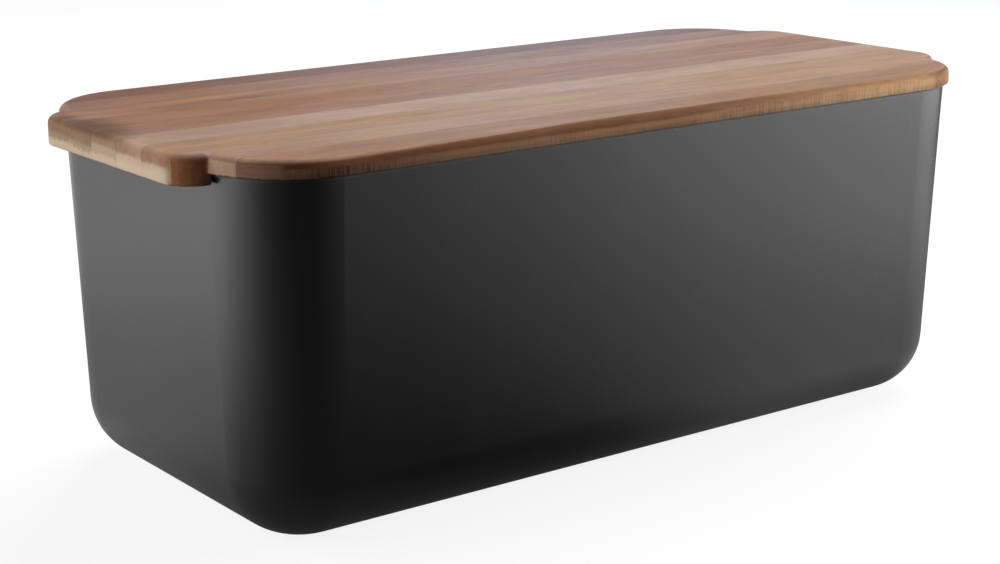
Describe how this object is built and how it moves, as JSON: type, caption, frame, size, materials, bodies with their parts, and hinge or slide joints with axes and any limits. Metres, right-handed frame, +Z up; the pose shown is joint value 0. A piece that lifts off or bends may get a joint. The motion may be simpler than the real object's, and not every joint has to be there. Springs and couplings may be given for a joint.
{
  "type": "bread box",
  "caption": "Long lidded box for bread: a plain round-cornered tub with leaning walls, closed by a lift-off wooden board with a tab at each end that serves as its lid and as a cutting board.",
  "frame": {"origin": "middle of the base, on the surface that the tub stands on", "axes": "+X along the box's length, +Y across it to the back, +Z up"},
  "size_m": [0.376, 0.1724, 0.142],
  "materials": {
    "tub_plastic": "satin moulded, charcoal black",
    "stave_dark": "oiled, darkest staves",
    "stave_brown": "oiled, mid brown staves",
    "stave_tan": "oiled, tan staves",
    "stave_light": "oiled, lightest stave"
  },
  "bodies": {
    "tub": {"tub": "tub_plastic"},
    "lid": {"lid_stave_1": "stave_brown", "lid_stave_2": "stave_tan", "lid_stave_3": "stave_tan", "lid_stave_4": "stave_light", "lid_stave_5": "stave_dark", "lid_stave_6": "stave_brown", "lid_stave_7": "stave_tan", "lid_stave_8": "stave_brown", "lid_stave_9": "stave_dark"}
  },
  "joints": [
    {"name": "lid_lift", "type": "slide", "parent": "tub", "child": "lid", "axis": [0, 0, 1], "range_m": [0, 0.16]}
  ]
}
